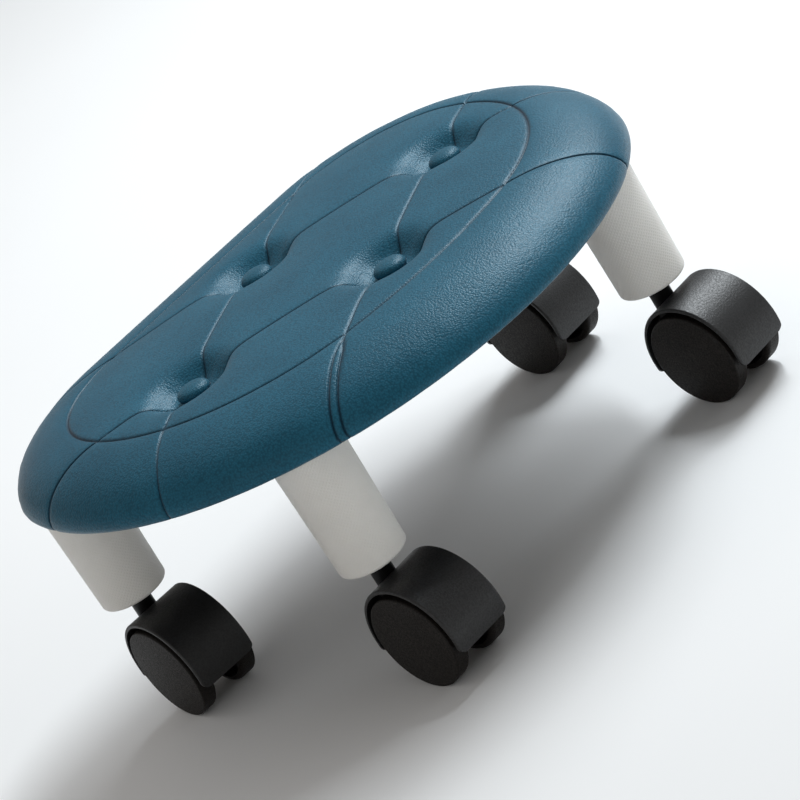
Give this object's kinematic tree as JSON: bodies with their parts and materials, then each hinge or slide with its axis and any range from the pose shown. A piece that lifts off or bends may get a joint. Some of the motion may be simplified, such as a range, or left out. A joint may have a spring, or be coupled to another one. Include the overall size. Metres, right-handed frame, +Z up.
{
  "type": "low rolling stool",
  "caption": "Low D-shaped tufted stool seat in synthetic leather on short round legs with swivelling twin-wheel casters, for sitting and rolling close to the floor.",
  "frame": {"origin": "on the floor, under the middle of the seat's outline", "axes": "+X along the seat's long side, +Y towards the straight back edge, +Z up"},
  "size_m": [0.3424, 0.2802, 0.1552],
  "materials": {
    "cover_leather": "satin blue-green grained synthetic leather",
    "button_leather": "satin blue-green synthetic leather drawn tight over a button",
    "foam": "open-cell upholstery foam",
    "plywood": "raw birch plywood",
    "dust_cloth": "black non-woven sheet",
    "twine": "waxed upholstery twine",
    "zinc_steel": "bright zinc plated",
    "leg_plastic": "off-white, fine cross-hatched moulded texture",
    "black_steel": "black plated, satin",
    "hood_plastic": "black nylon, fine spark texture",
    "wheel_plastic": "black nylon, fine spark texture"
  },
  "bodies": {
    "seat": {"button_ties": "twine", "caster_stem_back_left": "black_steel", "caster_stem_back_right": "black_steel", "caster_stem_front_left": "black_steel", "caster_stem_front_right": "black_steel", "cover_staples": "zinc_steel", "dust_cover": "dust_cloth", "edge_foam": "foam", "foam_pad": "foam", "leg_back_left": "leg_plastic", "leg_back_right": "leg_plastic", "leg_bolts": "zinc_steel", "leg_front_left": "leg_plastic", "leg_front_right": "leg_plastic", "seat_board": "plywood", "seat_cover": "cover_leather", "stem_clips": "zinc_steel", "stem_grip_rings": "zinc_steel", "stem_socket_back_left": "zinc_steel", "stem_socket_back_right": "zinc_steel", "stem_socket_front_left": "zinc_steel", "stem_socket_front_right": "zinc_steel", "tee_nuts": "zinc_steel", "tuft_button_back": "button_leather", "tuft_button_front": "button_leather", "tuft_button_left": "button_leather", "tuft_button_right": "button_leather"},
    "caster_back_left": {"caster_hood_back_left": "hood_plastic", "caster_axle_back_left": "zinc_steel"},
    "left_wheel_back_left": {"left_wheel_back_left": "wheel_plastic"},
    "right_wheel_back_left": {"right_wheel_back_left": "wheel_plastic"},
    "caster_front_left": {"caster_hood_front_left": "hood_plastic", "caster_axle_front_left": "zinc_steel"},
    "left_wheel_front_left": {"left_wheel_front_left": "wheel_plastic"},
    "right_wheel_front_left": {"right_wheel_front_left": "wheel_plastic"},
    "caster_front_right": {"caster_hood_front_right": "hood_plastic", "caster_axle_front_right": "zinc_steel"},
    "left_wheel_front_right": {"left_wheel_front_right": "wheel_plastic"},
    "right_wheel_front_right": {"right_wheel_front_right": "wheel_plastic"},
    "caster_back_right": {"caster_hood_back_right": "hood_plastic", "caster_axle_back_right": "zinc_steel"},
    "left_wheel_back_right": {"left_wheel_back_right": "wheel_plastic"},
    "right_wheel_back_right": {"right_wheel_back_right": "wheel_plastic"}
  },
  "joints": [
    {"name": "swivel_back_left", "type": "hinge", "parent": "seat", "child": "caster_back_left", "pos_m": [-0.1331, 0.0858, 0.05], "axis": [0, 0, 1], "continuous": true},
    {"name": "spin_left_wheel_back_left", "type": "hinge", "parent": "caster_back_left", "child": "left_wheel_back_left", "pos_m": [-0.13466, 0.06797, 0.025], "axis": [0.9962, -0.0872, 0], "continuous": true},
    {"name": "spin_right_wheel_back_left", "type": "hinge", "parent": "caster_back_left", "child": "right_wheel_back_left", "pos_m": [-0.13466, 0.06797, 0.025], "axis": [0.9962, -0.0872, 0], "continuous": true},
    {"name": "swivel_front_left", "type": "hinge", "parent": "seat", "child": "caster_front_left", "pos_m": [-0.1044, -0.0756, 0.05], "axis": [0, 0, 1], "continuous": true},
    {"name": "spin_left_wheel_front_left", "type": "hinge", "parent": "caster_front_left", "child": "left_wheel_front_left", "pos_m": [-0.10403, -0.0935, 0.025], "axis": [0.9998, 0.0209, 0], "continuous": true},
    {"name": "spin_right_wheel_front_left", "type": "hinge", "parent": "caster_front_left", "child": "right_wheel_front_left", "pos_m": [-0.10403, -0.0935, 0.025], "axis": [0.9998, 0.0209, 0], "continuous": true},
    {"name": "swivel_front_right", "type": "hinge", "parent": "seat", "child": "caster_front_right", "pos_m": [0.1044, -0.0756, 0.05], "axis": [0, 0, 1], "continuous": true},
    {"name": "spin_left_wheel_front_right", "type": "hinge", "parent": "caster_front_right", "child": "left_wheel_front_right", "pos_m": [0.10527, -0.09348, 0.025], "axis": [0.9988, 0.0488, 0], "continuous": true},
    {"name": "spin_right_wheel_front_right", "type": "hinge", "parent": "caster_front_right", "child": "right_wheel_front_right", "pos_m": [0.10527, -0.09348, 0.025], "axis": [0.9988, 0.0488, 0], "continuous": true},
    {"name": "swivel_back_right", "type": "hinge", "parent": "seat", "child": "caster_back_right", "pos_m": [0.1331, 0.0858, 0.05], "axis": [0, 0, 1], "continuous": true},
    {"name": "spin_left_wheel_back_right", "type": "hinge", "parent": "caster_back_right", "child": "left_wheel_back_right", "pos_m": [0.13363, 0.06791, 0.025], "axis": [0.9996, 0.0297, 0], "continuous": true},
    {"name": "spin_right_wheel_back_right", "type": "hinge", "parent": "caster_back_right", "child": "right_wheel_back_right", "pos_m": [0.13363, 0.06791, 0.025], "axis": [0.9996, 0.0297, 0], "continuous": true}
  ]
}
